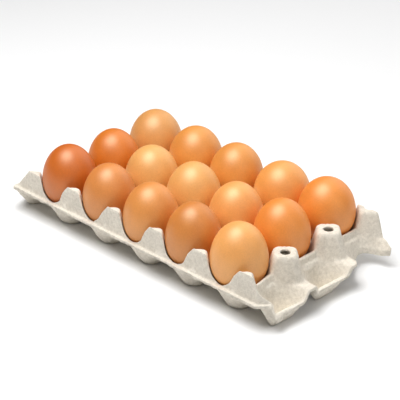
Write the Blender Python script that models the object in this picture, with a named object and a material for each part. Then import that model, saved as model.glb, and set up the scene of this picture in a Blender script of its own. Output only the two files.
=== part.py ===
"""Half of a moulded-pulp egg tray, with an egg in each of its fifteen pockets.

The tray was a 30-cell one, cut along its middle: three rows of five pockets, with half posts and
a narrow flange along the near long side, partial pockets at both ends and a cut edge at the back.
The tray is one sheet of pulp. Its upper surface is a height field over a rectangular lattice of
posts, and its underside is the same field lowered by the thickness of the sheet.

Lengths are in millimetres until scaled() turns them into metres. x runs along the five columns,
y from the near flange to the cut edge, and the lattice's first post line is at x = 0, y = 0.
"""

import math

import bmesh
import bpy
import numpy as np
from mathutils import Matrix

MM = 0.001

# Lattice of pockets, with a post at each crossing.
COLUMNS = 5
ROWS = 3
PITCH_X = 47.0
PITCH_Y = 49.2

# The pulp sheet and the pockets.
WALL = 2.3
FLOOR_RADIUS = 9.9
LOW_WALL_SLOPE = 1.88
HIGH_WALL_RADIUS = 12.5
WALL_FLARE = 0.92
WALL_POWER = 0.716

# Posts, ridges between rows and higher ribs between columns.
POST_HEIGHT = 41.0
POST_SQUARENESS = 4.5
POST_REACH = 10.9
HOLE_RADIUS = 4.15
RIDGE_HEIGHT = 21.4
RIB_HEIGHT = 28.0
RIB_HALF_WIDTH = 1.6
RIB_SLOPE = 8.0
CREST_START = 9.9
CREST_SLOPE = 1.75

# Near long side: a flange, and half posts with flat upright faces.
FLANGE_EDGE_Y = 0.5
FACE_FOOT_Y = 4.3
FACE_TOP_Y = 4.9
FACE_BACK_Y = 6.4
FACE_LEFT = 5.2
FACE_LEFT_SLOPE = 1.16
FACE_RIGHT = 7.6
FACE_RIGHT_SLOPE = 2.1
FACE_FOOT = 12.5
FACE_FOOT_HEIGHT = 31.2
NOTCH_SHIFT = 2.5
LEAN = 2.8
LEAN_START_Y = 14.0
LEAN_END_Y = 34.0
LEAN_END_X = 10.0
FIRST_POST_DROP = 2.2
FACE_BACK_SLOPE = 5.7

# Ends: partial pockets closed by a low outer wall, with corners cut off.
END_REACH = 26.8
END_FLARE = 1.4
FLARE_START = 0.2
FLARE_END = 0.75
RIDGE_END_REACH = 28.2
LIP_HEIGHT = 14.0
LIP_WIDTH = 3.1
LIP_SLOPE = 2.1
LEDGE_HEIGHT = 23.4
LEDGE_START = 2.1
LEDGE_END = 4.9
LEDGE_SLOPE = 0.35
LEDGE_DROP = 2.5
CORNER_START = 14.6
CORNER_LENGTH = 8.2
CORNER_SLOPE = 1.12
LEFT_CORNER_START = 20.3
LEFT_CORNER_SLOPE = 2.1
CORNER_FALL = 22.0
CORNER_STEP_WIDTH = 0.8
CORNER_WALL_START = 12.6
CORNER_STEP = 2.4
CORNER_FALL_SLOPE = 1.15
CORNER_WALL_SLOPE = 3.5
CORNER_NARROWING = 4.0
CORNER_NARROW_START = 20.5
CORNER_NARROW_END = 23.5
DRIFT_START_Y = 35.0
DRIFT_END_Y = 80.0
DRIFT_BACK_Y = 88.0
DRIFT_OVER_Y = 96.0
DRIFT = 1.6

# Third partial pocket of the right end: torn away between the ridge and the cut edge.
TEAR_REACH = 7.6
TEAR_START_Y = 99.5
TEAR_MIDDLE_Y = 126.0
TEAR_END_Y = 139.8
TEAR_NEAR_POWER = 1.5

# Back: the hand-cut edge runs just short of the last posts' centres, and draws in at the right.
CUT_Y = ROWS * PITCH_Y - 2.0
CUT_BEND = 15.0
CUT_SLOPE = 0.36

# Grid lines of the mesh, as distances from a post line.
LINES_X = (0.0, HOLE_RADIUS, POST_REACH, 16.5)
LINES_Y = (0.0, HOLE_RADIUS, 7.5, POST_REACH, 17.0)
LINES_END = (0.0, HOLE_RADIUS, POST_REACH, 16.5, 20.5, 24.4)
LINES_NEAR = (FLANGE_EDGE_Y, FACE_FOOT_Y, FACE_TOP_Y, FACE_BACK_Y, 8.4, POST_REACH, 17.0)

# Eggs stand upright, the narrower end mostly up. Each is the girth radius, the length above and
# the height of the widest place, and the shift from the pocket's middle along x and y.
EGG_LOWER_LENGTH = 25.5
EGG_SEGMENTS = 16
EGG_RINGS = 6
EGG_GAP = 1.2
EGGS = {
    (1, 1): (22.4, 30.2, 34.4, -0.9, 0.5),
    (2, 1): (21.6, 29.5, 34.4, -0.6, 0.6),
    (3, 1): (22.3, 30.2, 33.9, -0.2, 0.7),
    (4, 1): (22.0, 30.6, 33.6, -0.7, 0.4),
    (5, 1): (22.2, 29.9, 35.3, -0.5, 0.6),
    (1, 2): (22.1, 29.2, 33.0, -0.3, -0.3),
    (2, 2): (22.1, 28.7, 34.4, -1.1, -1.2),
    (3, 2): (22.5, 29.8, 34.6, -0.8, -0.9),
    (4, 2): (21.8, 28.4, 35.2, -1.2, -1.2),
    (5, 2): (22.5, 30.0, 36.6, -0.8, -1.2),
    (1, 3): (22.8, 28.9, 34.5, -0.7, -0.6),
    (2, 3): (22.9, 28.7, 34.9, -0.2, -0.5),
    (3, 3): (22.5, 29.0, 35.1, -0.7, -1.0),
    (4, 3): (23.1, 27.4, 36.4, 0.6, 0.8),
    (5, 3): (23.0, 28.5, 38.3, 0.3, 0.3),
}

# Colour, roughness and metallic value of each material.
PULP = ((0.76, 0.70, 0.61), 0.92, 0.0)
SHELL_TAN = ((0.72, 0.29, 0.075), 0.4, 0.0)
SHELL_BROWN = ((0.57, 0.14, 0.02), 0.4, 0.0)
BROWN_EGGS = ((1, 1), (1, 2))

# The origin is below the middle of the box, whose back is the egg that bulges furthest.
BACK_Y = max((row - 0.5) * PITCH_Y + egg[4] + egg[0] for (_, row), egg in EGGS.items())
MIDDLE_X = COLUMNS * PITCH_X / 2.0
MIDDLE_Y = (FLANGE_EDGE_Y + max(CUT_Y, BACK_Y)) / 2.0


def blend(value, low, high):
    """Rise smoothly from 0 at low to 1 at high."""
    t = np.clip((value - low) / (high - low), 0.0, 1.0)
    return t * t * (3.0 - 2.0 * t)


def pocket_height(radius):
    """Height of a pocket's wall at a distance from the pocket's axis."""
    low_wall = np.maximum(radius - FLOOR_RADIUS, 0.0) * LOW_WALL_SLOPE
    high_wall = (np.maximum(radius - HIGH_WALL_RADIUS, 0.0) / WALL_FLARE) ** (1.0 / WALL_POWER)
    return WALL + np.maximum(low_wall, high_wall)


def lattice_height(x, y):
    """Upper surface of the endless lattice of pockets, posts, ribs and ridges."""
    fade = (1.0 - blend(y, LEAN_START_Y, LEAN_END_Y)) * (1.0 - blend(end_distance(x), 0.0, LEAN_END_X))
    x = x - LEAN * fade
    post_x = np.abs(x - PITCH_X * np.round(x / PITCH_X))
    post_y = np.abs(y - PITCH_Y * np.round(y / PITCH_Y))
    pocket = pocket_height(np.hypot(PITCH_X / 2.0 - post_x, PITCH_Y / 2.0 - post_y))

    across = (post_x + post_y) / math.sqrt(2.0)
    along = np.abs(post_x - post_y) / math.sqrt(2.0)
    square = (across**POST_SQUARENESS + along**POST_SQUARENESS) ** (1.0 / POST_SQUARENESS)
    to_pocket = math.hypot(PITCH_X, PITCH_Y) / 2.0
    face = pocket_height(to_pocket - square)
    crest = POST_HEIGHT - CREST_SLOPE * (np.hypot(post_x, post_y) - CREST_START)
    post = np.minimum(np.minimum(face, crest), POST_HEIGHT)

    rib = RIB_HEIGHT - RIB_SLOPE * np.maximum(post_x - RIB_HALF_WIDTH, 0.0)
    return np.minimum(pocket, np.maximum(np.maximum(rib, RIDGE_HEIGHT), post))


def end_distance(x):
    """How far x is beyond the outermost post line, left or right."""
    return np.maximum(-x, x - COLUMNS * PITCH_X)


def face_outline(x):
    """Height of the upright faces: half posts that fall gently to the left, steeply to the right."""
    post = np.clip(np.round((x - NOTCH_SHIFT) / PITCH_X), 0, COLUMNS)
    right = x - post * PITCH_X
    left_slant = POST_HEIGHT - FACE_LEFT_SLOPE * np.maximum(-right - FACE_LEFT, 0.0)
    left_slant = left_slant - np.where(post == 0, FIRST_POST_DROP, 0.0)
    right_slant = POST_HEIGHT - FACE_RIGHT_SLOPE * np.maximum(right - FACE_RIGHT, 0.0)
    right_foot = FACE_FOOT_HEIGHT - FACE_LEFT_SLOPE * (right - FACE_FOOT)
    outline = np.minimum(left_slant, np.maximum(right_slant, right_foot))
    return np.maximum(outline, RIDGE_HEIGHT)


def near_side(x, y, inner):
    """Add the near flange and the upright faces of the half posts."""
    beyond = end_distance(x)
    inward = y - near_edge(x) + FLANGE_EDGE_Y
    inward = inward + CORNER_NARROWING * blend(beyond, CORNER_NARROW_START, CORNER_NARROW_END)
    rim = RIDGE_HEIGHT - CORNER_STEP * blend(beyond, CORNER_FALL, CORNER_FALL + CORNER_STEP_WIDTH)
    rim = rim - CORNER_FALL_SLOPE * np.maximum(beyond - CORNER_FALL, 0.0)
    face = face_outline(x) + rim - RIDGE_HEIGHT
    inner = np.where(y < PITCH_Y / 2.0, np.minimum(inner, face), inner)
    sheet = face - FACE_BACK_SLOPE * np.maximum(inward - FACE_BACK_Y, 0.0)
    upright = np.clip((inward - FACE_FOOT_Y) / (FACE_TOP_Y - FACE_FOOT_Y), 0.0, 1.0)
    wall = rim - CORNER_WALL_SLOPE * np.maximum(inward - FACE_FOOT_Y, 0.0)
    inner = np.maximum(inner, np.where(beyond > CORNER_WALL_START, wall, 0.0))
    return rim + upright * (np.maximum(inner, sheet) - rim)


def end_reach(y):
    """How far a whole end reaches beyond its outermost post line: furthest at the ridges."""
    row_y = np.abs(y - PITCH_Y * np.round(y / PITCH_Y))
    across = y / PITCH_Y - np.floor(y / PITCH_Y)
    reach = END_REACH + END_FLARE * blend(across, FLARE_START, FLARE_END)
    return reach + (RIDGE_END_REACH - reach) * (1.0 - blend(row_y, 5.0, 9.0))


def left_edge(y):
    """x of the left end's edge, which is whole."""
    return -end_reach(y)


def right_edge(y):
    """x of the right end's edge, with the third partial pocket torn away."""
    drift = blend(y, DRIFT_START_Y, DRIFT_END_Y) * (1.0 - blend(y, DRIFT_BACK_Y, DRIFT_OVER_Y))
    nearer = np.clip((TEAR_MIDDLE_Y - y) / (TEAR_MIDDLE_Y - TEAR_START_Y), 0.0, 1.0)
    further = np.clip((y - TEAR_MIDDLE_Y) / (TEAR_END_Y - TEAR_MIDDLE_Y), 0.0, 1.0)
    share = nearer**TEAR_NEAR_POWER + 1.0 - np.sqrt(1.0 - further**2)
    whole = end_reach(y) - DRIFT * drift - TEAR_REACH
    return COLUMNS * PITCH_X + TEAR_REACH + whole * share


def near_edge(x):
    """y of the flange's edge, whose two corners are cut off."""
    right = CORNER_SLOPE * np.clip(x - COLUMNS * PITCH_X - CORNER_START, 0.0, CORNER_LENGTH)
    left = LEFT_CORNER_SLOPE * np.maximum(-x - LEFT_CORNER_START, 0.0)
    return FLANGE_EDGE_Y + right + left


def cut_edge(x):
    """y of the cut along the back."""
    return CUT_Y - CUT_SLOPE * np.maximum(x - COLUMNS * PITCH_X - CUT_BEND, 0.0)


def outer_ledge(x, inner):
    """Add the sloping ledge at the foot of the outermost ribs, on the side away from the eggs."""
    beyond = end_distance(x)
    ledge = LEDGE_HEIGHT - LEDGE_SLOPE * np.maximum(beyond - LEDGE_START, 0.0)
    ledge = ledge - LEDGE_DROP * np.maximum(beyond - LEDGE_END, 0.0)
    return np.where(beyond > 0.0, np.maximum(inner, ledge), inner)


def end_walls(x, y, inner):
    """Close the partial pockets at both ends with a low outer wall."""
    inside = np.minimum(x - left_edge(y), right_edge(y) - x)
    lip = LIP_HEIGHT - LIP_SLOPE * np.maximum(inside - LIP_WIDTH, 0.0)
    torn = (x > MIDDLE_X) & (y > TEAR_START_Y)
    return np.where(torn, inner, np.maximum(inner, lip))


def egg_underside(x, y):
    """Height of the eggs' lower halves, less the gap, where there are eggs."""
    lowest = np.full(np.shape(x), np.inf)
    for (column, row), (radius, _, middle_z, shift_x, shift_y) in EGGS.items():
        egg_x = (column - 0.5) * PITCH_X + shift_x
        egg_y = (row - 0.5) * PITCH_Y + shift_y
        share = np.hypot(x - egg_x, y - egg_y) / (radius + EGG_GAP)
        drop = (EGG_LOWER_LENGTH + EGG_GAP) * np.sqrt(np.maximum(1.0 - share**2, 0.0))
        lowest = np.where(share < 1.0, np.minimum(lowest, middle_z - drop), lowest)
    return lowest


def upper_surface(x, y):
    """Height of the tray's upper surface."""
    height = lattice_height(x, y)
    height = outer_ledge(x, height)
    height = end_walls(x, y, height)
    height = near_side(x, y, height)
    return np.minimum(height, egg_underside(x, y))


def under_surface(x, y):
    """Height of the underside: no point of the sheet is thinner than WALL."""
    height = upper_surface(x, y) - WALL
    for reach in (0.35 * WALL, 0.7 * WALL, 0.92 * WALL):
        down = math.sqrt(WALL**2 - reach**2)
        for step in range(12):
            angle = step * math.pi / 6.0
            near = upper_surface(x + reach * math.cos(angle), y + reach * math.sin(angle))
            height = np.minimum(height, near - down)
    return np.maximum(height, 0.0)


def mirrored(distances, pitch):
    """Distances from a post line across one pitch, from the line to just before the next."""
    far = [pitch - d for d in reversed(distances[1:])]
    return list(distances) + [pitch / 2.0] + far


def grid_lines():
    """The x and y values of the mesh's grid lines before its edges are bent."""
    xs = [-d for d in reversed(LINES_END[1:])]
    for column in range(COLUMNS):
        xs += [column * PITCH_X + d for d in mirrored(LINES_X, PITCH_X)]
    xs += [COLUMNS * PITCH_X + d for d in LINES_END]
    xs = [-END_REACH] + xs + [COLUMNS * PITCH_X + END_REACH]

    ys = list(LINES_NEAR) + [PITCH_Y / 2.0]
    ys += [PITCH_Y - d for d in reversed(LINES_Y[1:])]
    for row in range(1, ROWS):
        ys += [row * PITCH_Y + d for d in mirrored(LINES_Y, PITCH_Y)]
    return np.array(xs), np.array([y for y in ys if y < CUT_Y - 1.0] + [CUT_Y])


def bend_to_edges(xs, ys):
    """Move the outer grid lines onto the tray's edges; the inner ones hardly move."""
    x, y = np.meshgrid(xs, ys, indexing="ij")
    last_post = COLUMNS * PITCH_X
    outward = np.clip((x - last_post) / END_REACH, 0.0, 1.0)
    x = x + outward * (right_edge(y) - last_post - END_REACH)
    outward = np.clip(-x / END_REACH, 0.0, 1.0)
    x = x + outward * (left_edge(y) + END_REACH)
    nearness = np.clip((PITCH_Y / 2.0 - y) / (PITCH_Y / 2.0 - FACE_BACK_Y), 0.0, 1.0)
    farness = np.clip((y - TEAR_END_Y) / (CUT_Y - TEAR_END_Y), 0.0, 1.0)
    y = y + nearness * (near_edge(x) - FLANGE_EDGE_Y) + farness * (cut_edge(x) - CUT_Y)
    return x, y


def round_the_holes(x, y):
    """Move the corners of each post's central square onto the hole, and mark its middle."""
    middle = np.zeros(x.shape, dtype=bool)
    for column in range(COLUMNS + 1):
        for row in range(1, ROWS):
            distance = np.hypot(x - column * PITCH_X, y - row * PITCH_Y)
            middle |= distance < 0.1
            rim = (distance > 0.1) & (distance < 1.5 * HOLE_RADIUS)
            scale = np.where(rim, HOLE_RADIUS / np.maximum(distance, 0.1), 1.0)
            x = np.where(rim, column * PITCH_X + (x - column * PITCH_X) * scale, x)
            y = np.where(rim, row * PITCH_Y + (y - row * PITCH_Y) * scale, y)
    return x, y, middle


def notch_the_cut_posts(x, y):
    """Draw the cut edge in to the near side of the holes that the cut runs through."""
    last = ROWS * PITCH_Y
    for column in range(COLUMNS + 1):
        on_axis = (np.abs(x - column * PITCH_X) < 0.1) & (y > CUT_Y - 0.1)
        y = np.where(on_axis, last - HOLE_RADIUS, y)
    return y


def scaled(x, y, z):
    """A point in metres, from the origin below the middle of the tray's box."""
    return ((x - MIDDLE_X) * MM, (y - MIDDLE_Y) * MM, z * MM)


def make_material(name, look):
    """A Principled material from a colour, roughness and metallic value."""
    colour, roughness, metallic = look
    material = bpy.data.materials.new(name)
    material.use_nodes = True
    shader = material.node_tree.nodes["Principled BSDF"]
    shader.inputs["Base Color"].default_value = (*colour, 1.0)
    shader.inputs["Roughness"].default_value = roughness
    shader.inputs["Metallic"].default_value = metallic
    return material


def add_object(name, mesh_builder, material, smooth_angle):
    """Turn a bmesh into an object with one material."""
    mesh = bpy.data.meshes.new(name)
    mesh_builder.to_mesh(mesh)
    mesh_builder.free()
    mesh.materials.append(material)
    mesh.shade_smooth()
    mesh.set_sharp_from_angle(angle=math.radians(smooth_angle))
    thing = bpy.data.objects.new(name, mesh)
    bpy.context.scene.collection.objects.link(thing)
    return thing


def add_square(shape, corners, heights, upward):
    """Two triangles over one square of the grid, split along its flatter diagonal."""
    if abs(heights[0] - heights[2]) <= abs(heights[1] - heights[3]):
        halves = ((0, 1, 2), (0, 2, 3))
    else:
        halves = ((0, 1, 3), (1, 2, 3))
    for half in halves:
        picked = [corners[i] for i in half]
        shape.faces.new(picked if upward else picked[::-1])


def build_tray():
    """The tray: an upper and an under surface over one grid, joined round every edge."""
    x, y = bend_to_edges(*grid_lines())
    x, y, middle = round_the_holes(x, y)
    y = notch_the_cut_posts(x, y)
    top = upper_surface(x, y)
    under = np.minimum(under_surface(x, y), top - 0.9 * WALL)

    shape = bmesh.new()
    upper = {}
    lower = {}
    for i, j in np.ndindex(x.shape):
        if not middle[i, j]:
            upper[i, j] = shape.verts.new(scaled(x[i, j], y[i, j], top[i, j]))
            lower[i, j] = shape.verts.new(scaled(x[i, j], y[i, j], under[i, j]))
    for i in range(x.shape[0] - 1):
        for j in range(x.shape[1] - 1):
            ring = [(i, j), (i + 1, j), (i + 1, j + 1), (i, j + 1)]
            if any(middle[key] for key in ring):
                continue
            heights = [top[key] for key in ring]
            add_square(shape, [upper[key] for key in ring], heights, True)
            add_square(shape, [lower[key] for key in ring], heights, False)

    twin = {upper[key]: lower[key] for key in upper}
    open_edges = [edge for edge in shape.edges if edge.is_boundary and edge.verts[0] in twin]
    for edge in open_edges:
        loop = edge.link_loops[0]
        start = loop.vert
        end = loop.link_loop_next.vert
        shape.faces.new((end, start, twin[start]))
        shape.faces.new((end, twin[start], twin[end]))
    return add_object("tray", shape, make_material("pulp", PULP), 30.0)


def build_egg(column, row, material):
    """One egg: a profile of two half ellipses, turned about an upright axis."""
    radius, upper_length, middle_z, shift_x, shift_y = EGGS[column, row]
    shape = bmesh.new()
    profile = []
    for ring in range(EGG_RINGS + 1):
        angle = math.pi * (ring / EGG_RINGS - 0.5)
        length = upper_length if angle > 0.0 else EGG_LOWER_LENGTH
        point = (radius * math.cos(angle) * MM, 0.0, length * math.sin(angle) * MM)
        profile.append(shape.verts.new(point))
    edges = [shape.edges.new(pair) for pair in zip(profile, profile[1:])]
    bmesh.ops.spin(
        shape,
        geom=profile + edges,
        cent=(0.0, 0.0, 0.0),
        axis=(0.0, 0.0, 1.0),
        angle=2.0 * math.pi,
        steps=EGG_SEGMENTS,
    )
    bmesh.ops.remove_doubles(shape, verts=shape.verts, dist=0.01 * MM)
    bmesh.ops.recalc_face_normals(shape, faces=shape.faces)
    egg_x = (column - 0.5) * PITCH_X + shift_x
    egg_y = (row - 0.5) * PITCH_Y + shift_y
    egg = add_object(f"egg_row{row}_column{column}", shape, material, 60.0)
    egg.matrix_world = Matrix.Translation(scaled(egg_x, egg_y, middle_z))
    return egg


def main():
    """Clear the scene and build the tray and its eggs."""
    for old in list(bpy.data.objects):
        bpy.data.objects.remove(old)
    build_tray()
    tan = make_material("shell_tan", SHELL_TAN)
    brown = make_material("shell_brown", SHELL_BROWN)
    for column, row in EGGS:
        build_egg(column, row, brown if (column, row) in BROWN_EGGS else tan)


if __name__ == "__main__":
    main()
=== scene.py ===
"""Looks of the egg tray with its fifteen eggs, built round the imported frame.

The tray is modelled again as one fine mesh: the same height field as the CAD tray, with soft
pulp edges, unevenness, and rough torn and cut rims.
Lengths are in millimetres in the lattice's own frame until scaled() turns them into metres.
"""

import math

import bpy
import numpy as np
from mathutils import Matrix, Vector, noise


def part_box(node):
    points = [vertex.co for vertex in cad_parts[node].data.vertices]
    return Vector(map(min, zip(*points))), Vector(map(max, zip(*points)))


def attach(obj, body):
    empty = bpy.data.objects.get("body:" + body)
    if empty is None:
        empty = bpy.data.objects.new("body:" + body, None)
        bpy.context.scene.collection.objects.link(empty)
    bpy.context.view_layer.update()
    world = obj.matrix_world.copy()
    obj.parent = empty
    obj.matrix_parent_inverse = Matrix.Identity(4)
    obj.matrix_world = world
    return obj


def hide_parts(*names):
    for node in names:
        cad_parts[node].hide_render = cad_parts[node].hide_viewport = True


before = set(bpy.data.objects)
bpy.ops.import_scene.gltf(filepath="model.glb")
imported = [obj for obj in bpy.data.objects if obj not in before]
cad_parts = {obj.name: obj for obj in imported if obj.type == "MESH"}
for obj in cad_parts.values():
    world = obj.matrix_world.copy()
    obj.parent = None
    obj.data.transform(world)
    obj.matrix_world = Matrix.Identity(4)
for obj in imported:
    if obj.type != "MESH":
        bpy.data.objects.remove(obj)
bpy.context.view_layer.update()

MM = 0.001

# The tray's driving sizes, the same as the CAD tray's.
COLUMNS = 5
ROWS = 3
PITCH_X = 47.0
PITCH_Y = 49.2
WALL = 2.3
FLOOR_RADIUS = 9.9
LOW_WALL_SLOPE = 1.88
HIGH_WALL_RADIUS = 12.5
WALL_FLARE = 0.92
WALL_POWER = 0.716
POST_HEIGHT = 41.0
POST_SQUARENESS = 4.5
HOLE_RADIUS = 4.15
RIDGE_HEIGHT = 21.4
RIB_HEIGHT = 28.0
RIB_HALF_WIDTH = 1.6
RIB_SLOPE = 8.0
CREST_START = 9.9
CREST_SLOPE = 1.75
FLANGE_EDGE_Y = 0.5
FACE_FOOT_Y = 4.3
FACE_TOP_Y = 4.9
FACE_BACK_Y = 6.4
FACE_LEFT = 5.2
FACE_LEFT_SLOPE = 1.16
FACE_RIGHT = 7.6
FACE_RIGHT_SLOPE = 2.1
FACE_FOOT = 12.5
FACE_FOOT_HEIGHT = 31.2
NOTCH_SHIFT = 2.5
LEAN = 2.8
LEAN_START_Y = 14.0
LEAN_END_Y = 34.0
LEAN_END_X = 10.0
FIRST_POST_DROP = 2.2
FACE_BACK_SLOPE = 5.7
END_REACH = 26.8
END_FLARE = 1.4
FLARE_START = 0.2
FLARE_END = 0.75
RIDGE_END_REACH = 28.2
LIP_HEIGHT = 14.0
LIP_WIDTH = 3.1
LIP_SLOPE = 2.1
LEDGE_HEIGHT = 23.4
LEDGE_START = 2.1
LEDGE_END = 4.9
LEDGE_SLOPE = 0.35
LEDGE_DROP = 2.5
CORNER_START = 14.6
CORNER_LENGTH = 8.2
CORNER_SLOPE = 1.12
LEFT_CORNER_START = 20.3
LEFT_CORNER_SLOPE = 2.1
CORNER_FALL = 22.0
CORNER_STEP_WIDTH = 0.8
CORNER_WALL_START = 12.6
CORNER_STEP = 2.4
CORNER_FALL_SLOPE = 1.15
CORNER_WALL_SLOPE = 3.5
CORNER_NARROWING = 4.0
CORNER_NARROW_START = 20.5
CORNER_NARROW_END = 23.5
DRIFT_START_Y = 35.0
DRIFT_END_Y = 80.0
DRIFT_BACK_Y = 88.0
DRIFT_OVER_Y = 96.0
DRIFT = 1.6
TEAR_REACH = 7.6
TEAR_START_Y = 99.5
TEAR_MIDDLE_Y = 126.0
TEAR_END_Y = 139.8
TEAR_NEAR_POWER = 1.5
CUT_Y = ROWS * PITCH_Y - 2.0
CUT_BEND = 15.0
CUT_SLOPE = 0.36

# The lattice's origin, from where the CAD tray stands.
tray_low, tray_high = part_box("tray")
MIDDLE_X = COLUMNS * PITCH_X / 2.0
MIDDLE_Y = FLANGE_EDGE_Y - tray_low.y / MM

# Eggs: the CAD egg's widest place is this far above its lowest point.
EGG_LOWER_LENGTH = 25.5
EGG_CLEARANCE = 0.9
EGG_SEGMENTS = 96
EGG_RINGS = 64

# The fine mesh: spacing of its lines, and the square of lines that becomes each round hole.
STEP = 1.25
FINE_STEP = 0.2
HOLE_SQUARE = 3.9
HOLE_BLEND = 7.5
RIB_LINES = (0.0, 0.8, 1.45, 1.75, 2.05, 2.35, 2.75, 3.3, HOLE_SQUARE)
POST_LINES = (0.0, 1.3, 2.6, HOLE_SQUARE)

# Softness and unevenness of the pulp.
RASTER_STEP = 0.5
UPPER_SOFTNESS = 0.3
UNDER_SOFTNESS = 0.8
UPPER_RELIEF = 0.24
UNDER_RELIEF = 0.5
EDGE_WANDER = 0.6
EDGE_WAVE = 0.4
EDGE_RINGS = (0.2, 0.5, 0.8)
EDGE_BULGE = (0.35, 0.1, 0.35)


def blend(value, low, high):
    """Rise smoothly from 0 at low to 1 at high."""
    t = np.clip((value - low) / (high - low), 0.0, 1.0)
    return t * t * (3.0 - 2.0 * t)


def scaled(x, y, z):
    """Points in metres in the frame, from lattice millimetres."""
    return np.stack(((x - MIDDLE_X) * MM, (y - MIDDLE_Y) * MM, z * MM), axis=-1)


# ---------------------------------------------------------------- the sheet's height field


def pocket_height(radius):
    """Height of a pocket's wall at a distance from the pocket's axis."""
    low_wall = np.maximum(radius - FLOOR_RADIUS, 0.0) * LOW_WALL_SLOPE
    high_wall = (np.maximum(radius - HIGH_WALL_RADIUS, 0.0) / WALL_FLARE) ** (1.0 / WALL_POWER)
    return WALL + np.maximum(low_wall, high_wall)


def lattice_height(x, y):
    """Upper surface of the endless lattice of pockets, posts, ribs and ridges."""
    fade = (1.0 - blend(y, LEAN_START_Y, LEAN_END_Y)) * (1.0 - blend(end_distance(x), 0.0, LEAN_END_X))
    x = x - LEAN * fade
    post_x = np.abs(x - PITCH_X * np.round(x / PITCH_X))
    post_y = np.abs(y - PITCH_Y * np.round(y / PITCH_Y))
    pocket = pocket_height(np.hypot(PITCH_X / 2.0 - post_x, PITCH_Y / 2.0 - post_y))

    across = (post_x + post_y) / math.sqrt(2.0)
    along = np.abs(post_x - post_y) / math.sqrt(2.0)
    square = (across**POST_SQUARENESS + along**POST_SQUARENESS) ** (1.0 / POST_SQUARENESS)
    to_pocket = math.hypot(PITCH_X, PITCH_Y) / 2.0
    face = pocket_height(to_pocket - square)
    crest = POST_HEIGHT - CREST_SLOPE * (np.hypot(post_x, post_y) - CREST_START)
    post = np.minimum(np.minimum(face, crest), POST_HEIGHT)

    rib = RIB_HEIGHT - RIB_SLOPE * np.maximum(post_x - RIB_HALF_WIDTH, 0.0)
    return np.minimum(pocket, np.maximum(np.maximum(rib, RIDGE_HEIGHT), post))


def end_distance(x):
    """How far x is beyond the outermost post line, left or right."""
    return np.maximum(-x, x - COLUMNS * PITCH_X)


def face_outline(x):
    """Height of the upright faces: half posts that fall gently to the left, steeply to the right."""
    post = np.clip(np.round((x - NOTCH_SHIFT) / PITCH_X), 0, COLUMNS)
    right = x - post * PITCH_X
    left_slant = POST_HEIGHT - FACE_LEFT_SLOPE * np.maximum(-right - FACE_LEFT, 0.0)
    left_slant = left_slant - np.where(post == 0, FIRST_POST_DROP, 0.0)
    right_slant = POST_HEIGHT - FACE_RIGHT_SLOPE * np.maximum(right - FACE_RIGHT, 0.0)
    right_foot = FACE_FOOT_HEIGHT - FACE_LEFT_SLOPE * (right - FACE_FOOT)
    outline = np.minimum(left_slant, np.maximum(right_slant, right_foot))
    return np.maximum(outline, RIDGE_HEIGHT)


def near_side(x, y, inner):
    """Add the near flange and the upright faces of the half posts."""
    beyond = end_distance(x)
    inward = y - near_edge(x) + FLANGE_EDGE_Y
    inward = inward + CORNER_NARROWING * blend(beyond, CORNER_NARROW_START, CORNER_NARROW_END)
    rim = RIDGE_HEIGHT - CORNER_STEP * blend(beyond, CORNER_FALL, CORNER_FALL + CORNER_STEP_WIDTH)
    rim = rim - CORNER_FALL_SLOPE * np.maximum(beyond - CORNER_FALL, 0.0)
    face = face_outline(x) + rim - RIDGE_HEIGHT
    inner = np.where(y < PITCH_Y / 2.0, np.minimum(inner, face), inner)
    sheet = face - FACE_BACK_SLOPE * np.maximum(inward - FACE_BACK_Y, 0.0)
    upright = np.clip((inward - FACE_FOOT_Y) / (FACE_TOP_Y - FACE_FOOT_Y), 0.0, 1.0)
    wall = rim - CORNER_WALL_SLOPE * np.maximum(inward - FACE_FOOT_Y, 0.0)
    inner = np.maximum(inner, np.where(beyond > CORNER_WALL_START, wall, 0.0))
    return rim + upright * (np.maximum(inner, sheet) - rim)


def end_reach(y):
    """How far a whole end reaches beyond its outermost post line: furthest at the ridges."""
    row_y = np.abs(y - PITCH_Y * np.round(y / PITCH_Y))
    across = y / PITCH_Y - np.floor(y / PITCH_Y)
    reach = END_REACH + END_FLARE * blend(across, FLARE_START, FLARE_END)
    return reach + (RIDGE_END_REACH - reach) * (1.0 - blend(row_y, 5.0, 9.0))


def left_edge(y):
    """x of the left end's edge, which is whole."""
    return -end_reach(y)


def right_edge(y):
    """x of the right end's edge, with the third partial pocket torn away."""
    drift = blend(y, DRIFT_START_Y, DRIFT_END_Y) * (1.0 - blend(y, DRIFT_BACK_Y, DRIFT_OVER_Y))
    nearer = np.clip((TEAR_MIDDLE_Y - y) / (TEAR_MIDDLE_Y - TEAR_START_Y), 0.0, 1.0)
    further = np.clip((y - TEAR_MIDDLE_Y) / (TEAR_END_Y - TEAR_MIDDLE_Y), 0.0, 1.0)
    share = nearer**TEAR_NEAR_POWER + 1.0 - np.sqrt(1.0 - further**2)
    whole = end_reach(y) - DRIFT * drift - TEAR_REACH
    return COLUMNS * PITCH_X + TEAR_REACH + whole * share


def near_edge(x):
    """y of the flange's edge, whose two corners are cut off."""
    right = CORNER_SLOPE * np.clip(x - COLUMNS * PITCH_X - CORNER_START, 0.0, CORNER_LENGTH)
    left = LEFT_CORNER_SLOPE * np.maximum(-x - LEFT_CORNER_START, 0.0)
    return FLANGE_EDGE_Y + right + left


def cut_edge(x):
    """y of the cut along the back."""
    return CUT_Y - CUT_SLOPE * np.maximum(x - COLUMNS * PITCH_X - CUT_BEND, 0.0)


def outer_ledge(x, inner):
    """Add the sloping ledge at the foot of the outermost ribs, on the side away from the eggs."""
    beyond = end_distance(x)
    ledge = LEDGE_HEIGHT - LEDGE_SLOPE * np.maximum(beyond - LEDGE_START, 0.0)
    ledge = ledge - LEDGE_DROP * np.maximum(beyond - LEDGE_END, 0.0)
    return np.where(beyond > 0.0, np.maximum(inner, ledge), inner)


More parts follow.
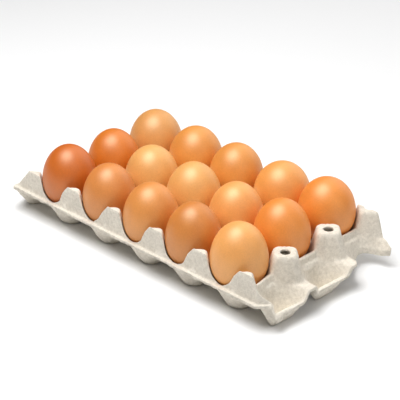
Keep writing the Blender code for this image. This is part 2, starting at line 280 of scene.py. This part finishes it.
def end_walls(x, y, inner):
    """Close the partial pockets at both ends with a low outer wall."""
    inside = np.minimum(x - left_edge(y), right_edge(y) - x)
    lip = LIP_HEIGHT - LIP_SLOPE * np.maximum(inside - LIP_WIDTH, 0.0)
    torn = (x > MIDDLE_X) & (y > TEAR_START_Y)
    return np.where(torn, inner, np.maximum(inner, lip))


def egg_sizes():
    """Radius, upper length, middle height and place of each egg, from its CAD box."""
    sizes = {}
    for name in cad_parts:
        if name.startswith("egg_"):
            low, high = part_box(name)
            radius = (high.x - low.x) / 2.0 / MM
            middle_z = low.z / MM + EGG_LOWER_LENGTH
            egg_x = (low.x + high.x) / 2.0 / MM + MIDDLE_X
            egg_y = (low.y + high.y) / 2.0 / MM + MIDDLE_Y
            sizes[name] = (radius, high.z / MM - middle_z, middle_z, egg_x, egg_y)
    return sizes


def egg_underside(x, y):
    """Height of the eggs' lower halves, less the clearance, where there are eggs."""
    lowest = np.full(np.shape(x), np.inf)
    for radius, _, middle_z, egg_x, egg_y in EGGS.values():
        share = np.hypot(x - egg_x, y - egg_y) / (radius + EGG_CLEARANCE)
        drop = (EGG_LOWER_LENGTH + EGG_CLEARANCE) * np.sqrt(np.maximum(1.0 - share**2, 0.0))
        lowest = np.where(share < 1.0, np.minimum(lowest, middle_z - drop), lowest)
    return lowest


def upper_surface(x, y):
    """Height of the tray's upper surface, with crisp edges."""
    height = lattice_height(x, y)
    height = outer_ledge(x, height)
    height = end_walls(x, y, height)
    return near_side(x, y, height)


def shifted(field, i, j):
    """The field moved by whole raster steps."""
    return np.roll(field, (i, j), axis=(0, 1))


def eroded(field):
    """The field lowered so that the sheet is WALL thick everywhere."""
    reach = int(WALL / RASTER_STEP)
    result = field - WALL
    for i in range(-reach, reach + 1):
        for j in range(-reach, reach + 1):
            distance = math.hypot(i, j) * RASTER_STEP
            if distance < WALL:
                down = math.sqrt(WALL**2 - distance**2)
                result = np.minimum(result, shifted(field, i, j) - down)
    return result


def softened(field, width):
    """The field after a Gaussian blur of that width in millimetres."""
    reach = int(math.ceil(2.5 * width / RASTER_STEP))
    steps = np.arange(-reach, reach + 1)
    weights = np.exp(-0.5 * (steps * RASTER_STEP / width) ** 2)
    weights = weights / weights.sum()
    for axis in (0, 1):
        field = sum(w * np.roll(field, s, axis=axis) for w, s in zip(weights, steps))
    return field


def sheet_raster():
    """Both surfaces of the sheet on a fine raster: its origin, the upper and the under heights."""
    margin = 12.0 * RASTER_STEP
    xs = np.arange(-RIDGE_END_REACH - margin, COLUMNS * PITCH_X + RIDGE_END_REACH + margin, RASTER_STEP)
    ys = np.arange(-margin, ROWS * PITCH_Y + margin, RASTER_STEP)
    x, y = np.meshgrid(xs, ys, indexing="ij")
    crisp = np.minimum(upper_surface(x, y), egg_underside(x, y))
    upper = softened(crisp, UPPER_SOFTNESS)
    under = softened(np.maximum(eroded(crisp), 0.0), UNDER_SOFTNESS)
    return (xs[0], ys[0]), upper, np.minimum(under, upper - 0.7 * WALL)


def sampled(origin, field, x, y):
    """The raster's height at any place, between its points."""
    u = (x - origin[0]) / RASTER_STEP
    v = (y - origin[1]) / RASTER_STEP
    i = np.clip(np.floor(u).astype(int), 0, field.shape[0] - 2)
    j = np.clip(np.floor(v).astype(int), 0, field.shape[1] - 2)
    s = u - i
    t = v - j
    low = field[i, j] * (1.0 - s) + field[i + 1, j] * s
    high = field[i, j + 1] * (1.0 - s) + field[i + 1, j + 1] * s
    return low * (1.0 - t) + high * t


# ---------------------------------------------------------------- the tray's fine mesh


def spaced(start, end, step):
    """Values from just after start to end, about a step apart."""
    count = max(1, math.ceil((end - start) / step))
    return list(np.linspace(start, end, count + 1)[1:])


def mirrored(half, pitch):
    """Lines over one pitch from those of its first half, without the next post line."""
    return list(half) + [pitch - d for d in reversed(half[1:-1])]


def grid_lines():
    """The x and y values of the grid's lines: close together where the sheet is steep."""
    half_x = list(RIB_LINES) + spaced(HOLE_SQUARE, PITCH_X / 2.0, STEP)
    end_x = list(RIB_LINES) + spaced(HOLE_SQUARE, END_REACH - 4.0, STEP)
    end_x += spaced(END_REACH - 4.0, END_REACH, 0.5)
    xs = [-d for d in reversed(end_x[1:])]
    for column in range(COLUMNS):
        xs += [column * PITCH_X + d for d in mirrored(half_x, PITCH_X)]
    xs += [COLUMNS * PITCH_X + d for d in end_x]

    half_y = list(POST_LINES) + spaced(HOLE_SQUARE, PITCH_Y / 2.0, STEP)
    ys = [FLANGE_EDGE_Y] + spaced(FLANGE_EDGE_Y, FACE_FOOT_Y - 0.8, 0.75)
    ys += spaced(FACE_FOOT_Y - 0.8, FACE_TOP_Y + 0.8, FINE_STEP)
    ys += spaced(FACE_TOP_Y + 0.8, 10.0, 0.5)
    ys += spaced(10.0, PITCH_Y / 2.0, STEP)
    ys += [PITCH_Y - d for d in reversed(half_y[:-1]) if d > 0.0]
    for row in range(1, ROWS):
        ys += [row * PITCH_Y + d for d in mirrored(half_y, PITCH_Y)]
    return np.array(xs), np.array([y for y in ys if y < CUT_Y - 0.5] + [CUT_Y])


def wander(places, length, seed):
    """Smooth random offsets from -1 to 1 along an edge, of a given wavelength."""
    return np.array([noise.noise(Vector((p / length, seed, 0.37))) for p in places.ravel()]
                    ).reshape(places.shape) * 2.0


def bend_to_edges(x, y):
    """Move the outer grid lines onto the tray's edges; the inner ones hardly move."""
    last_post = COLUMNS * PITCH_X
    outward = np.clip((x - last_post) / END_REACH, 0.0, 1.0)
    bent_x = x + outward * (right_edge(y) - last_post - END_REACH)
    outward = np.clip(-x / END_REACH, 0.0, 1.0)
    bent_x = bent_x + outward * (left_edge(y) + END_REACH)
    nearness = np.clip((PITCH_Y / 2.0 - y) / (PITCH_Y / 2.0 - FACE_BACK_Y), 0.0, 1.0)
    farness = np.clip((y - TEAR_END_Y) / (CUT_Y - TEAR_END_Y), 0.0, 1.0)
    wave = EDGE_WAVE * (1.0 + wander(bent_x, 5.0, 1.7))
    bent_y = y + nearness * (near_edge(bent_x) - FLANGE_EDGE_Y + wave)
    return bent_x, bent_y + farness * (cut_edge(bent_x) - CUT_Y)


def round_the_holes(x, y):
    """Turn a square of grid lines round each post into a circle; say which points are inside."""
    inside = np.zeros(x.shape, dtype=bool)
    for column in range(COLUMNS + 1):
        for row in range(1, ROWS + 1):
            dx = x - column * PITCH_X
            dy = y - row * PITCH_Y
            ring = np.maximum(np.abs(dx), np.abs(dy))
            distance = np.maximum(np.hypot(dx, dy), 0.01)
            inside |= ring < HOLE_SQUARE - 0.01
            share = np.clip((ring - HOLE_SQUARE) / (HOLE_BLEND - HOLE_SQUARE), 0.0, 1.0)
            scale = (HOLE_RADIUS + ring - HOLE_SQUARE) / distance
            scale = np.where(ring < HOLE_BLEND, scale + (1.0 - scale) * share, 1.0)
            x = column * PITCH_X + dx * scale
            y = row * PITCH_Y + dy * scale
    return x, np.minimum(y, CUT_Y), inside


def grid_normals(points):
    """Unit normals of a grid of points, on the side where x and y turn anticlockwise."""
    along = np.gradient(points, axis=0)
    across = np.gradient(points, axis=1)
    normals = np.cross(along, across)
    return normals / np.maximum(np.linalg.norm(normals, axis=-1, keepdims=True), 1e-12)


def relief(points, seed):
    """Uneven pulp: from -1 to 1, with soft dents and finer lumps."""
    values = np.empty(points.shape[:-1])
    for index in np.ndindex(values.shape):
        p = Vector(points[index]) / MM
        dents = noise.noise(p / 14.0 + Vector((seed, 0.0, 0.0)))
        lumps = noise.fractal(p / 3.4 + Vector((0.0, seed, 0.0)), 0.9, 2.1, 3)
        values[index] = 0.8 * dents + 0.75 * lumps
    return values


def boundary_of(faces):
    """The directed edges that only one face uses."""
    edges = set()
    for face in faces:
        for start, end in zip(face, face[1:] + face[:1]):
            if (end, start) in edges:
                edges.remove((end, start))
            else:
                edges.add((start, end))
    return edges


def outward_directions(edges, points):
    """For each rim point, the level direction that points away from the sheet."""
    directions = {}
    for start, end in edges:
        run = points[end] - points[start]
        side = np.array((run[1], -run[0], 0.0))
        side = side / max(np.linalg.norm(side), 1e-9)
        directions[start] = directions.get(start, 0.0) + side
        directions[end] = directions.get(end, 0.0) + side
    return {key: d / max(np.linalg.norm(d), 1e-9) for key, d in directions.items()}


def tray_mesh():
    """Vertices and faces of the tray: two surfaces over one grid, and a rough rim between them."""
    origin, upper, under = sheet_raster()
    x, y = np.meshgrid(*grid_lines(), indexing="ij")
    x, y, inside = round_the_holes(x, y)
    x, y = bend_to_edges(x, y)
    top = scaled(x, y, sampled(origin, upper, x, y))
    bottom = scaled(x, y, sampled(origin, under, x, y))
    top = top + grid_normals(top) * (relief(top, 3.1) * UPPER_RELIEF * MM)[..., None]
    bottom = bottom + grid_normals(bottom) * (relief(bottom, 8.6) * UNDER_RELIEF * MM)[..., None]
    floor = blend(bottom[..., 2], 0.0, 2.0 * MM)
    bottom[..., 2] = np.maximum(bottom[..., 2], 0.0) * floor + 0.00005

    count = inside.size
    keys = np.arange(count).reshape(inside.shape)
    kept = ~(inside[:-1, :-1] | inside[1:, :-1] | inside[1:, 1:] | inside[:-1, 1:])
    corners = np.stack((keys[:-1, :-1], keys[1:, :-1], keys[1:, 1:], keys[:-1, 1:]), axis=-1)
    faces = [tuple(face) for face in corners[kept].tolist()]
    points = list(top.reshape(-1, 3)) + list(bottom.reshape(-1, 3))

    rim = boundary_of(faces)
    outward = outward_directions(rim, points)
    rings = {}
    for key, direction in outward.items():
        p = Vector(points[key]) / MM
        ring = [key]
        for share, bulge in zip(EDGE_RINGS, EDGE_BULGE):
            rough = noise.noise(p / 2.3 + Vector((0.0, 0.0, 7.0 * share)))
            middle = points[key] * (1.0 - share) + points[key + count] * share
            ring.append(len(points))
            points.append(middle + direction * (bulge + EDGE_WANDER * rough) * MM)
        rings[key] = ring + [key + count]
    all_faces = faces + [tuple(i + count for i in reversed(face)) for face in faces]
    for start, end in rim:
        for a, b, c, d in zip(rings[start], rings[end], rings[end][1:], rings[start][1:]):
            all_faces.append((b, a, d, c))
    return np.array(points), all_faces


def used_only(points, faces):
    """Drop the points that no face uses."""
    used = np.zeros(len(points), dtype=bool)
    used[[i for face in faces for i in face]] = True
    new_index = np.cumsum(used) - 1
    return points[used], [tuple(int(new_index[i]) for i in face) for face in faces]


def add_piece(name, points, faces, material, node):
    """A smooth mesh object that stands for a CAD node and rides on the one body."""
    mesh = bpy.data.meshes.new(name)
    mesh.from_pydata([tuple(p) for p in points], [], faces)
    mesh.validate()
    mesh.materials.append(material)
    mesh.shade_smooth()
    piece = bpy.data.objects.new(name, mesh)
    bpy.context.scene.collection.objects.link(piece)
    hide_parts(node)
    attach(piece, "root")
    return piece


def build_tray(material):
    """The pulp tray, kept inside the CAD tray's box."""
    points, faces = used_only(*tray_mesh())
    points = np.clip(points, np.array(tray_low), np.array(tray_high))
    return add_piece("pulp_tray", points, faces, material, "tray")


# ---------------------------------------------------------------- eggs


def build_egg(name, size, material):
    """One egg: two half ellipses turned about an upright axis, very slightly uneven."""
    radius, upper_length, middle_z, egg_x, egg_y = size
    centre = scaled(egg_x, egg_y, middle_z)
    points = []
    faces = []
    for ring in range(1, EGG_RINGS):
        angle = math.pi * (ring / EGG_RINGS - 0.5)
        length = upper_length if angle > 0.0 else EGG_LOWER_LENGTH
        for segment in range(EGG_SEGMENTS):
            turn = 2.0 * math.pi * segment / EGG_SEGMENTS
            wide = radius * math.cos(angle)
            direction = Vector((math.cos(turn) * math.cos(angle), math.sin(turn) * math.cos(angle),
                                math.sin(angle)))
            place = Vector((wide * math.cos(turn), wide * math.sin(turn), length * math.sin(angle)))
            uneven = 1.0 - 0.006 * (1.0 + noise.noise(direction * 1.3 + Vector((egg_x, egg_y, 0.0))))
            points.append(centre + np.array(place * uneven) * MM)
    for ring in range(EGG_RINGS - 2):
        for segment in range(EGG_SEGMENTS):
            after = (segment + 1) % EGG_SEGMENTS
            low = ring * EGG_SEGMENTS
            high = low + EGG_SEGMENTS
            faces.append((low + segment, low + after, high + after, high + segment))
    bottom = len(points)
    points.append(centre - np.array((0.0, 0.0, EGG_LOWER_LENGTH * 0.994 * MM)))
    points.append(centre + np.array((0.0, 0.0, upper_length * 0.994 * MM)))
    last = (EGG_RINGS - 2) * EGG_SEGMENTS
    for segment in range(EGG_SEGMENTS):
        after = (segment + 1) % EGG_SEGMENTS
        faces.append((after, segment, bottom))
        faces.append((last + segment, last + after, bottom + 1))
    return add_piece(f"shell_{name[4:]}", points, faces, material, name)


# ---------------------------------------------------------------- materials


class Nodes:
    """A short way to write a material's node tree."""

    def __init__(self, name):
        self.material = bpy.data.materials.new(name)
        self.material.use_nodes = True
        self.tree = self.material.node_tree
        self.shader = self.tree.nodes["Principled BSDF"]

    def add(self, kind, **values):
        """A node with its inputs set from numbers, colours or other nodes' outputs."""
        node = self.tree.nodes.new(kind)
        for key, value in values.items():
            if hasattr(node, key):
                setattr(node, key, value)
            else:
                self.link(value, node.inputs[key.replace("_", " ").title()])
        return node

    def link(self, value, socket):
        """Set a socket's value, or join an output to it."""
        if isinstance(value, bpy.types.NodeSocket):
            self.tree.links.new(value, socket)
        else:
            socket.default_value = value

    def noise(self, coordinates, scale, detail=3.0, roughness=0.5):
        """A noise texture's value."""
        node = self.add("ShaderNodeTexNoise", scale=scale, detail=detail, roughness=roughness)
        self.link(coordinates, node.inputs["Vector"])
        return node.outputs["Fac"]

    def ramp(self, value, *stops):
        """A colour ramp over a value: stops are (place, colour)."""
        node = self.tree.nodes.new("ShaderNodeValToRGB")
        elements = node.color_ramp.elements
        while len(elements) < len(stops):
            elements.new(0.5)
        for element, (place, colour) in zip(elements, stops):
            element.position = place
            element.color = (*colour, 1.0)
        self.link(value, node.inputs["Fac"])
        return node.outputs["Color"]

    def mix(self, share, first, second, mode="MIX"):
        """Two colours mixed by a share."""
        node = self.tree.nodes.new("ShaderNodeMix")
        node.data_type = "RGBA"
        node.blend_type = mode
        self.link(share, node.inputs[0])
        self.link(first, node.inputs[6])
        self.link(second, node.inputs[7])
        return node.outputs[2]

    def maths(self, operation, first, second=0.0):
        """One arithmetic step."""
        node = self.tree.nodes.new("ShaderNodeMath")
        node.operation = operation
        self.link(first, node.inputs[0])
        self.link(second, node.inputs[1])
        return node.outputs[0]

    def bump(self, height, strength, distance, normal=None):
        """A bump from a height."""
        node = self.tree.nodes.new("ShaderNodeBump")
        node.inputs["Strength"].default_value = strength
        node.inputs["Distance"].default_value = distance
        self.link(height, node.inputs["Height"])
        if normal is not None:
            self.link(normal, node.inputs["Normal"])
        return node.outputs["Normal"]

    def place(self):
        """Coordinates fixed to the object, in metres."""
        return self.tree.nodes.new("ShaderNodeTexCoord").outputs["Object"]


def pulp_material():
    """Pale grey pulp: mottled, with fibres, small dark specks and a rough surface."""
    n = Nodes("moulded_pulp")
    place = n.place()
    clouds = n.ramp(n.noise(place, 60.0, 4.0), (0.35, (0.755, 0.70, 0.607)), (0.65, (0.82, 0.763, 0.664)))
    mottle = n.ramp(n.noise(place, 420.0, 5.0, 0.65), (0.32, (0.84, 0.83, 0.81)), (0.66, (1.08, 1.08, 1.08)))
    colour = n.mix(1.0, clouds, mottle, "MULTIPLY")
    specks = n.noise(place, 1300.0, 2.0, 0.4)
    dark = n.ramp(specks, (0.25, (0.86, 0.84, 0.80)), (0.34, (1.0, 1.0, 1.0)))
    colour = n.mix(1.0, colour, dark, "MULTIPLY")
    n.link(colour, n.shader.inputs["Base Color"])
    n.shader.inputs["Roughness"].default_value = 0.93
    n.shader.inputs["Specular IOR Level"].default_value = 0.25
    coarse = n.bump(n.noise(place, 330.0, 5.0, 0.62), 0.8, 0.0007)
    fine = n.bump(n.noise(place, 1500.0, 3.0, 0.6), 0.5, 0.00025, coarse)
    n.link(fine, n.shader.inputs["Normal"])
    return n.material


def shell_material(name, shade, seed):
    """Satin eggshell: one tint with a deeper, cloudy variation, faint speckle and pores."""
    n = Nodes(name)
    offset = n.tree.nodes.new("ShaderNodeVectorMath")
    offset.operation = "ADD"
    n.link(n.place(), offset.inputs[0])
    offset.inputs[1].default_value = (0.31 * seed, 0.17 * seed, 0.23 * seed)
    place = offset.outputs[0]
    light = [1.05 * part for part in shade]
    deep = [0.95 * shade[0], 0.90 * shade[1], 0.86 * shade[2]]
    base = n.ramp(n.noise(place, 55.0, 3.0), (0.3, light), (0.72, deep))
    grain = n.ramp(n.noise(place, 900.0, 3.0, 0.6), (0.3, (0.93, 0.91, 0.89)), (0.7, (1.03, 1.03, 1.03)))
    n.link(n.mix(1.0, base, grain, "MULTIPLY"), n.shader.inputs["Base Color"])
    n.shader.inputs["Roughness"].default_value = 0.47
    n.shader.inputs["Specular IOR Level"].default_value = 1.0
    n.shader.inputs["IOR"].default_value = 1.6
    n.shader.inputs["Specular Tint"].default_value = (1.0, 1.0, 0.78, 1.0)
    pores = n.bump(n.noise(place, 1400.0, 2.0, 0.5), 0.25, 0.00008)
    n.link(pores, n.shader.inputs["Normal"])
    return n.material


# ---------------------------------------------------------------- camera, light and floor


def add_camera():
    """The camera: a long lens, looking down on the near right corner."""
    azimuth = math.radians(44.44)
    elevation = math.radians(27.81)
    target = Vector((-6.15, 11.74, 25.0)) * MM
    back = Vector((math.sin(azimuth) * math.cos(elevation), -math.cos(azimuth) * math.cos(elevation),
                   math.sin(elevation)))
    right = Vector((math.cos(azimuth), math.sin(azimuth), 0.0))
    turned = Matrix((right, back.cross(right), back)).transposed().to_4x4()
    camera = bpy.data.objects.new("camera", bpy.data.cameras.new("camera"))
    camera.data.lens = 146.2
    camera.data.sensor_width = 36.0
    camera.matrix_world = Matrix.Translation(target + back * 1.3069) @ turned
    bpy.context.scene.collection.objects.link(camera)
    bpy.context.scene.camera = camera


def add_area_light(name, place, size, power, colour=(1.0, 1.0, 1.0)):
    """A square soft light that points at the tray."""
    data = bpy.data.lights.new(name, "AREA")
    data.shape = "SQUARE"
    data.size = size
    data.energy = power
    data.color = colour
    light = bpy.data.objects.new(name, data)
    light.location = place
    light.rotation_euler = (-Vector(place)).to_track_quat("-Z", "Y").to_euler()
    bpy.context.scene.collection.objects.link(light)


def add_studio():
    """A pale floor, an even pale surround and soft lights from above."""
    mesh = bpy.data.meshes.new("floor")
    half = 3.0
    mesh.from_pydata([(-half, -half, 0), (half, -half, 0), (half, half, 0), (-half, half, 0)], [], [(0, 1, 2, 3)])
    floor = bpy.data.objects.new("floor", mesh)
    bpy.context.scene.collection.objects.link(floor)
    n = Nodes("floor")
    n.shader.inputs["Base Color"].default_value = (0.92, 0.92, 0.92, 1.0)
    n.shader.inputs["Roughness"].default_value = 0.9
    mesh.materials.append(n.material)

    world = bpy.data.worlds.new("surround")
    world.use_nodes = True
    world.node_tree.nodes["Background"].inputs["Color"].default_value = (1.0, 1.0, 1.0, 1.0)
    world.node_tree.nodes["Background"].inputs["Strength"].default_value = 0.05
    bpy.context.scene.world = world
    add_area_light("key", (-0.08, -0.24, 0.97), 0.75, 12.5)
    add_area_light("right", (1.4, 0.0, 0.7), 1.4, 3.9)
    add_area_light("back", (0.0, 1.3, 0.9), 1.8, 11.8)
    bpy.context.scene.view_settings.view_transform = "Standard"


SHADES = {
    "gold": (0.905, 0.40, 0.107),
    "cream": (0.85, 0.425, 0.125),
    "sand": (0.753, 0.346, 0.098),
    "honey": (0.87, 0.367, 0.083),
    "amber": (0.79, 0.308, 0.056),
    "fawn": (0.752, 0.278, 0.056),
    "tan": (0.71, 0.242, 0.048),
    "orange": (0.87, 0.28, 0.038),
    "russet": (0.67, 0.225, 0.036),
    "chestnut": (0.70, 0.182, 0.008),
    "brown": (0.60, 0.125, 0.001),
}
ROW_SHADES = (
    ("brown", "tan", "fawn", "russet", "gold"),
    ("chestnut", "cream", "cream", "gold", "orange"),
    ("sand", "amber", "amber", "honey", "orange"),
)

EGGS = egg_sizes()
add_camera()
add_studio()
build_tray(pulp_material())
for seed, (node, size) in enumerate(EGGS.items()):
    row, column = int(node[7]), int(node[15])
    shade = ROW_SHADES[row - 1][column - 1]
    build_egg(node, size, shell_material(f"shell_{node[4:]}", SHADES[shade], seed))
